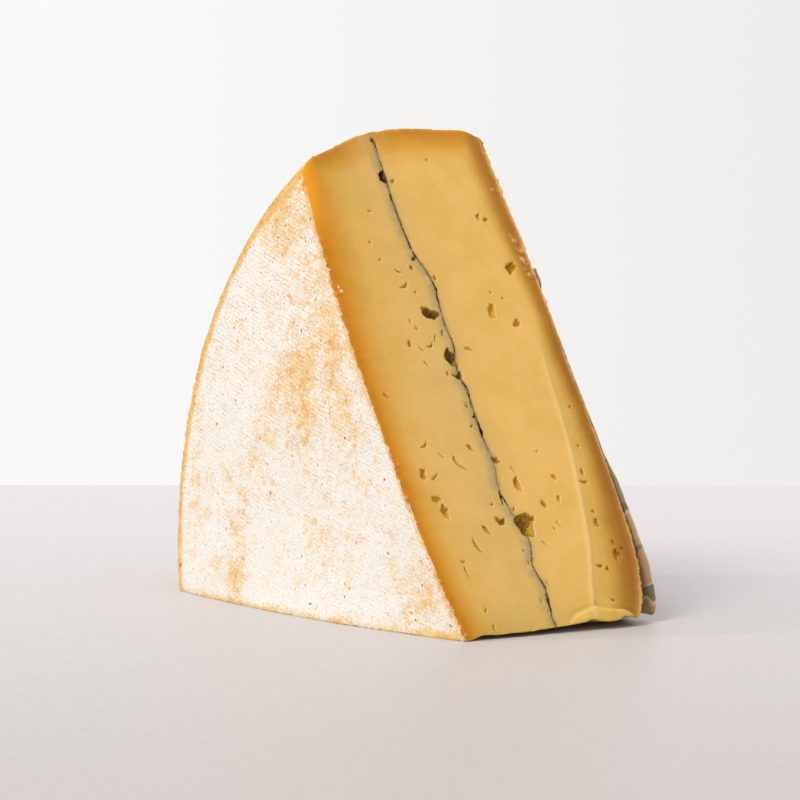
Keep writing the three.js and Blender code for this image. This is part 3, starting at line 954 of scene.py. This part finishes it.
class Look(Nodes):
    """A material. Its colours are 8-bit ones as they look where light falls on it."""

    def __init__(self, name, light=1.0):
        self.material = bpy.data.materials.new(name)
        self.material.use_nodes = True
        super().__init__(self.material.node_tree)
        self.light = light
        self.colour = None
        self.places = self.place("Object")

    def note(self, name):
        return self.add("ShaderNodeAttribute", "Fac", {}, attribute_name=name)

    def lumps(self, size, detail=2.0, roughness=0.5, stretch=(1, 1, 1)):
        """Noise from 0 to 1 with lumps that are about size millimetres across, around 0.5."""
        place = self.places
        if stretch != (1, 1, 1):
            place = self.add("ShaderNodeVectorMath", "Vector", {0: place, 1: stretch}, operation="MULTIPLY")
        values = {"Vector": place, "Scale": METRE / size, "Detail": detail, "Roughness": roughness}
        return self.add("ShaderNodeTexNoise", "Fac", values)

    def wobble(self, reach, *lumps, **settings):
        """The same noise around 0, reach times as strong."""
        return (self.lumps(*lumps, **settings) - 0.5) * reach

    def band(self, distance, stops, interpolation="LINEAR"):
        """A colour that changes with a distance in millimetres."""
        furthest = stops[-1][0]
        colour = self.add("ShaderNodeValToRGB", "Color", {"Fac": distance * (1 / furthest)})
        color_ramp = colour.socket.node.color_ramp
        color_ramp.interpolation = interpolation
        while len(color_ramp.elements) < len(stops):
            color_ramp.elements.new(1.0)
        for element, (place, stop_colour) in zip(color_ramp.elements, stops):
            element.position = place / furthest
            element.color = (*stop_colour, 1)
        return colour

    def shown(self, colour):
        """What a colour has to be to look like that in this look's light. A Value is that already."""
        if isinstance(colour, Value):
            return colour
        return np.minimum(linear(colour) / self.light, BRIGHTEST)

    def blend(self, share, a, b):
        return self.mix(share, self.shown(a), self.shown(b))

    def lay(self, share, colour):
        """Lays a colour over the look's own."""
        self.colour = self.mix(share, self.colour, self.shown(colour))

    def tone(self, share, factors):
        """Multiplies the look's colour."""
        self.colour = self.mix(share, self.colour, factors, "MULTIPLY")

    def set(self, **values):
        shader = self.tree.nodes["Principled BSDF"]
        for name, value in values.items():
            self.give(shader.inputs[name.replace("_", " ")], value)

    def finish(self, roughness, specular, height=None, deep=0.0):
        """Gives the shader the colour, the gloss and a bump that is so many millimetres deep."""
        self.set(Base_Color=self.colour, Roughness=roughness, Specular_IOR_Level=specular)
        if height is not None:
            values = {"Height": height, "Distance": deep / METRE, "Strength": 1.0}
            self.set(Normal=self.add("ShaderNodeBump", "Normal", values))
        return self.material


# ---- Materials ----

LIGHT_ON_CUT = 1.08
LIGHT_ON_RIND = 1.32
BRIGHTEST = 0.93
PASTE = (229, 186, 102)
BLOOM = (255, 251, 245)

# The paste's colour under each surface of the wheel: depth, colour.
BANDS = {
    "to_bare": [
        (0, (208, 134, 20)), (2, (208, 131, 10)), (5, (218, 147, 34)), (9, (220, 163, 62)),
        (15, (226, 178, 84)), (26, (229, 184, 98)), (34, PASTE),
    ],
    "to_labelled": [
        (0, (242, 206, 150)), (0.5, (222, 172, 104)), (1.1, (186, 130, 58)), (2.4, (170, 112, 28)),
        (4.5, (184, 130, 40)), (6.5, (209, 161, 70)), (9, (226, 183, 94)), (12, PASTE),
    ],
    "to_rim": [
        (0, (214, 146, 34)), (1.7, (198, 136, 32)), (3.8, (206, 142, 36)), (5.8, (212, 152, 46)),
        (8, (219, 161, 58)), (11, (225, 174, 80)), (16, PASTE),
    ],
}


def banded(look, up):
    """What the bands under the wheel's surfaces turn the paste's colour into."""
    wavy = look.wobble(2.0, 5, 3, 0.6)
    narrowing = {
        "to_bare": up.ramp(50, 140, 1.7, 1.0),
        "to_labelled": up.ramp(28, 72, 0.66, 1.15) * up.ramp(105, 150, 1.0, 0.78),
        "to_rim": 1.15,
    }
    bands = (1, 1, 1)
    for name, stops in BANDS.items():
        reach = (look.note(name) + wavy) * narrowing[name]
        band = look.band(reach, [(depth, linear(colour) / linear(PASTE)) for depth, colour in stops])
        bands = look.mix(1.0, bands, band, "DARKEN")
    return bands


def make_cut():
    look = Look("cheese_cut", LIGHT_ON_CUT)
    notes = "up_cut", "to_bare", "to_ash", "to_crease", "sunk"
    up, to_bare, to_ash, to_crease, sunk = map(look.note, notes)
    mottled = look.lumps(13, 4, 0.6).ramp(0.3, 0.7)
    look.colour = look.blend(mottled, (223, 182, 96), (233, 188, 107))
    look.tone(1.0, banded(look, up))
    second_stroke = to_crease.ramp(0.2, 3.5) * up.ramp(8, 14) * up.fade(90, 118)
    look.tone(second_stroke, (0.90, 0.865, 0.76))
    # painted glow: the paste at the top corner by the bare side turns brighter orange, as light shining
    # through the thin corner would make it
    painted_corner_glow = to_bare.fade(1, 7) * up.ramp(135, 160)
    look.lay(painted_corner_glow, (244, 166, 26))

    before_ash = to_ash.fade(-9, 1.5)
    look.tone(before_ash, (0.94, 0.97, 1.08))
    low = look.note("to_base").fade(0, 15)
    look.tone(low, (0.86, 0.88, 0.72))
    greener = abs(to_ash + 3).fade(0, 13) * look.lumps(8, 3, 0.6)
    look.lay(greener, (214, 177, 103))
    ashy = abs(to_ash + 1.2).fade(0.2, 3.6) * look.lumps(4, 4, 0.7).ramp(0.3, 0.62, 0.2, 1)
    look.lay(ashy * look.note("to_rim").ramp(1, 9, 0.4, 1) * 0.9, (184, 156, 108))
    touching = abs(to_ash + 0.2).fade(0.3, 1.3) * look.lumps(0.9, 3, 0.7).ramp(0.42, 0.6, 0.2, 1)
    look.lay(touching * 0.7, (146, 114, 76))

    # painted highlight: a pale line along the ridge beside the crease, where it catches the light
    ridge = abs(to_crease + 0.7).fade(0.3, 1.4) * up.fade(60, 110)
    look.lay(ridge * 0.4, (240, 206, 138))
    # the squashed lip is paler paste, with a painted highlight along its top
    on_lip = look.note("lip").ramp(0.3, 1.1)
    look.lay(on_lip * 0.6, (236, 200, 116))

    # painted glow: the eyes' walls turn a brighter, deeper gold, as light bouncing inside them and shining
    # through the paste would make them
    in_eye = sunk.ramp(0.3, 1.6)
    look.lay(in_eye * 0.8, (248, 202, 80))
    # darker brown inside the eyes near the ash
    darker_near_ash_in_eyes = in_eye * (abs(to_ash + 1).fade(2, 7) * look.lumps(3, 3).ramp(0.3, 0.6, 0.6, 1))
    look.lay(darker_near_ash_in_eyes * 0.8, (116, 84, 38))
    specks = look.lumps(0.8, 2, 0.6).ramp(0.70, 0.76)
    look.lay(specks * 0.25, (196, 134, 60))
    crusty = look.note("crumb").ramp(0.15, 0.5) * look.lumps(1.0, 3, 0.7).ramp(0.4, 0.55)
    look.lay(crusty * 0.75, look.blend(to_bare.ramp(2, 8), (252, 240, 214), (222, 180, 120)))
    rind_crumbs = to_bare.fade(0, 0.8) * look.lumps(0.8, 3, 0.7).ramp(0.58, 0.62)
    look.lay(rind_crumbs * 0.7, (250, 220, 160))

    look.set(IOR=1.45, Subsurface_Weight=0.7, Subsurface_Radius=(1.0, 0.8, 0.35), Subsurface_Scale=0.0011)
    grain = look.lumps(0.55, 3, 0.6) * 0.6 + look.lumps(2.4, 3, 0.6) * 0.8
    return look.finish(look.lumps(1.5, 3, 0.6).ramp(0.3, 0.7, 0.42, 0.58), 0.2, grain, 0.28)


def cloth_print(look, to_base):
    """The weave of the cloth that the wheel was pressed in: broken, and fainter low down."""
    wander = look.wobble(1.1, 7, 2)
    threads = []
    for name in ("cloth_u", "cloth_v"):
        wave = ((look.note(name) + wander) * (2 * math.pi / CLOTH_PITCH)).math("SINE")
        threads.append(wave.ramp(-0.4, 1))
    broken = look.lumps(3, 4, 0.7).ramp(0.4, 0.6)
    return (threads[1] * 0.9 + threads[0] * 0.3) * (broken * to_base.ramp(15, 90, 0.6, 1))


def make_rind():
    look = Look("cheese_rind", LIGHT_ON_RIND)
    to_base = look.note("to_base")
    weave = cloth_print(look, to_base)
    fine = look.lumps(0.75, 4, 0.75)

    # Large patches, and the wheel's edges, where the bloom is worn off to gold.
    along = (1, 0.55, 1)
    to_side = look.note("to_bare").math("MINIMUM", look.note("to_labelled"))
    at_rim = look.note("to_rim").ramp(0.2, 4.5, 1.1, 0) * to_side.ramp(2, 14, 1, 0.35)
    at_base = to_base.ramp(0.2, 3.5, 0.6, 0)
    worn = look.wobble(2.9, 7, 6, 0.85, stretch=along) + look.wobble(1.2, 26, 2, stretch=along)
    worn = worn + look.note("worn_patch") + (at_rim + at_base)
    soft = worn.ramp(-0.1, 1.0)
    gold = look.blend(look.lumps(4, 4, 0.7).ramp(0.35, 0.65), (252, 192, 74), (255, 226, 150))
    look.colour = look.blend(soft * 0.9, BLOOM, gold)
    look.lay(at_rim * 0.45, (250, 184, 66))

    # Grains without bloom, which are more along the threads, in the patches and at the cuts.
    at_cut = look.note("to_cut").ramp(0.3, 2.4, 1.2, 0)
    grains = (fine - 0.5) * 3.2 + look.wobble(1.2, 2.2, 3, 0.7)
    grains = grains + (weave - 0.35) * look.lumps(13, 2).ramp(0.4, 0.6, 0.3, 0.8)
    grains = grains + (soft * 0.6 + at_cut * 0.6)
    bare = grains.ramp(0.05, 0.52)
    tan = look.blend(look.lumps(3, 3).ramp(0.35, 0.65), (236, 162, 60), (248, 210, 140))
    look.lay(bare * 0.75, tan)

    more_specks = soft * 0.03 + look.note("up_cut").ramp(100, 150, 0, 0.03)
    specks = (look.lumps(0.8, 2, 0.5) + more_specks).ramp(0.685, 0.725)
    look.lay(specks * 0.75, (138, 96, 52))
    spots = look.lumps(1.9, 1, 0.4).ramp(0.755, 0.785)
    look.lay(spots * 0.85, (112, 74, 38))

    look.set(IOR=1.45, Subsurface_Weight=0.15, Subsurface_Radius=(1.0, 0.7, 0.4), Subsurface_Scale=0.001)
    height = weave * -0.2 + fine * 1.2 + look.lumps(2.6, 3, 0.6) * 0.8
    return look.finish(bare.ramp(0, 1, 0.92, 0.7), 0.25, height, 0.3)


def make_slot_wall():
    look = Look("cheese_beside_ash", LIGHT_ON_CUT)
    look.colour = look.blend(look.lumps(1.4, 3, 0.7), (84, 66, 40), (140, 112, 70))
    return look.finish(0.7, 0.2, look.lumps(0.6, 3, 0.6), 0.1)


def make_ash():
    look = Look("ash_grains", LIGHT_ON_CUT)
    grains = look.lumps(0.7, 4, 0.75)
    paler = look.wobble(1.6, 5, 3, 0.6) + grains
    look.colour = look.blend(paler.ramp(0.35, 0.75), (62, 42, 16), (150, 120, 78))
    return look.finish(grains.ramp(0.3, 0.7, 0.95, 0.75), 0.15, grains, 0.2)


# The label's rings: where each starts, measured from their centre, and its colour.
SALMON = (190, 156, 122)
CREAM = (216, 204, 176)
GREEN = (92, 106, 80)
DARK_GREEN = (62, 76, 60)
GREY_GREEN = (118, 122, 98)
GREY_PINK = (182, 158, 138)
PRINT = [
    (0, CREAM), (9, GREEN), (12, GREY_GREEN), (24, CREAM), (25, DARK_GREEN), (28, GREY_GREEN),
    (47, DARK_GREEN), (50, CREAM), (51, SALMON), (60, GREEN), (61, SALMON), (70, CREAM), (71, DARK_GREEN),
    (75.5, CREAM), (76.5, GREY_PINK), (88, GREEN), (89, GREY_PINK), (104, DARK_GREEN), (120, GREY_GREEN),
]


def make_label(name, strength, paper):
    """One face of the label: plain rings, at that strength over the paper."""
    look = Look(name, LIGHT_ON_CUT)
    distance = look.note("from_print") + look.wobble(24, 15, 1)
    printed = look.band(distance, [(start, look.shown(colour)) for start, colour in PRINT], "CONSTANT")
    greased = look.blend(look.lumps(7, 3, 0.6), paper, 0.9 * np.array(paper))
    fibres = look.lumps(0.5, 3, 0.7)
    look.colour = look.mix(fibres.ramp(0.2, 0.5, 0.85, 1.0) * strength, greased, printed)
    return look.finish(fibres.ramp(0.3, 0.7, 0.5, 0.7), 0.35, fibres + look.lumps(3, 2) * 2, 0.08)


def make_floor(back):
    """The floor's look, with painted shade: it darkens a little towards the camera, as the light falls off.
    """
    look = Look("floor")
    look.colour = look.mix(look.lumps(60, 2), (0.623, 0.603, 0.62), (0.638, 0.618, 0.635))
    look.tone(look.along(look.places, back).ramp(-0.4, 0.5), (0.78, 0.75, 0.72))
    return look.finish(look.lumps(4, 3).ramp(0.3, 0.7, 0.4, 0.5), 0.3)


# ---- The pieces ----

skin, edges = cheese_skin()
paste = mesh_object("cheese", crumble(skin.points, edges), skin.faces, [make_rind(), make_cut()], skin.kinds)
slot_tool = ash_sheet("slot_tool", ASH_GAP, make_slot_wall())
ash_look = make_ash()
ash = ash_sheet("ash", 0.0, ash_look)
carve(ash, "INTERSECT", paste)
# The ash keeps its own look where the paste's surface cut it.
ash.data.materials.clear()
ash.data.materials.append(ash_look)
ash.data.polygons.foreach_set("material_index", np.zeros(len(ash.data.polygons), np.int32))
carve(paste, "DIFFERENCE", slot_tool)
bpy.data.objects.remove(slot_tool)
label = label_mesh([
    make_label("label_print", 1.0, (226, 216, 190)),
    make_label("label_back", 0.6, (196, 168, 136)),
    make_label("label_edge", 0.0, (228, 218, 194)),
])

for piece, node, finish in (
    (paste, "paste", "cheese"), (ash, "ash_layer", "ash"), (label, "label", "label_paper"),
):
    note_places(piece)
    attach(piece, "root")
    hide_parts(node)

# ---- Camera, floor and light ----

CAMERA_TURN = math.radians(-34.5)
CAMERA_RISE = math.radians(4.3)
CAMERA_PLACE = np.array([-869.5457, -1227.7738, 185.6888])  # in the wheel's frame
SENSOR = 36.0
LENS = 225.0

to_right = Vector((math.cos(CAMERA_TURN), math.sin(CAMERA_TURN), 0))
level_back = Vector((math.sin(CAMERA_TURN), -math.cos(CAMERA_TURN), 0))
to_back = level_back * math.cos(CAMERA_RISE) + Vector((0, 0, math.sin(CAMERA_RISE)))
to_top = to_back.cross(to_right)

camera_data = bpy.data.cameras.new("camera")
camera_data.sensor_width = SENSOR
camera_data.lens = LENS
camera = put("camera", camera_data)
axes = Matrix((to_right, to_top, to_back)).transposed().to_4x4()
camera.matrix_world = Matrix.Translation(in_frame(CAMERA_PLACE).tolist()) @ axes
bpy.context.scene.camera = camera

FLOOR_BEHIND = 0.42  # metres from the wedge to the table's far edge, which is the horizon in the photo
FLOOR_REACH = 3.0  # metres to each side and towards the camera
floor_corners = [
    in_wheel(to_right * aside * FLOOR_REACH - level_back * behind)
    for aside, behind in ((-1, -FLOOR_REACH), (1, -FLOOR_REACH), (1, FLOOR_BEHIND), (-1, FLOOR_BEHIND))
]
floor = mesh_object("floor", floor_corners, [(0, 1, 2, 3)], [make_floor(level_back)])

KEY_RISE = math.radians(22)
LIGHT_COLOUR = (1.0, 0.965, 0.91)


def add_sun(name, towards, strength, size):
    light = bpy.data.lights.new(name, "SUN")
    light.energy = strength
    light.angle = size
    light.color = LIGHT_COLOUR
    put(name, light).rotation_euler = towards.to_track_quat("Z", "Y").to_euler()


# A low sun from the left casts the shadow, and a soft window above it shades the eyes.
add_sun("key", Vector((0, 0, math.sin(KEY_RISE))) - to_right * math.cos(KEY_RISE), 0.7, math.radians(2.5))
add_sun("window", to_top * 0.64 + to_back * 0.64 - to_right * 0.42, 1.5, math.radians(25))

BACKDROP_LEFT = (250, 250, 250)
BACKDROP_RIGHT = (240, 238, 236)
BACKDROP_TURN = 0.09  # how far to each side of the camera's direction the backdrop changes

world = bpy.data.worlds.new("world")
world.use_nodes = True
sky = Nodes(world.node_tree)
share = sky.along(sky.place("Generated"), to_right).ramp(-BACKDROP_TURN, BACKDROP_TURN)
backdrop = sky.mix(share, linear(BACKDROP_LEFT), linear(BACKDROP_RIGHT))
sky.give(world.node_tree.nodes["Background"].inputs["Color"], backdrop)
bpy.context.scene.world = world
bpy.context.scene.view_settings.view_transform = "Standard"

# ---- The end ----


bpy.context.view_layer.update()
